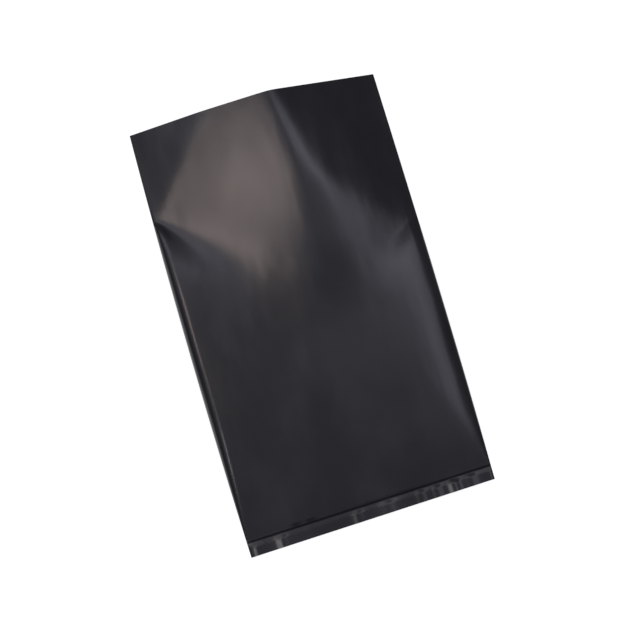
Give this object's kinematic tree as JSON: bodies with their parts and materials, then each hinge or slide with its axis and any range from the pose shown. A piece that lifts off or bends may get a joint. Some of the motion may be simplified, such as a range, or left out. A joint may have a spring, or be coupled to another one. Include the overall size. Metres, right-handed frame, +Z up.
{
  "type": "conductive bag",
  "caption": "Flat bag of black conductive polyethylene film, open at one end and heat-sealed near the other, with creased sides and a short loose skirt past the seal.",
  "frame": {"origin": "on the floor, under the middle of the bag's box", "axes": "+Y from the seal towards the mouth, +Z up from the floor, +X to the right seen from above with the mouth away"},
  "size_m": [0.1538, 0.2612, 0.0198],
  "materials": {
    "film": "semi-gloss blown film, black all through, with very faint flow lines"
  },
  "bodies": {
    "root": {"bag": "film"}
  },
  "joints": []
}
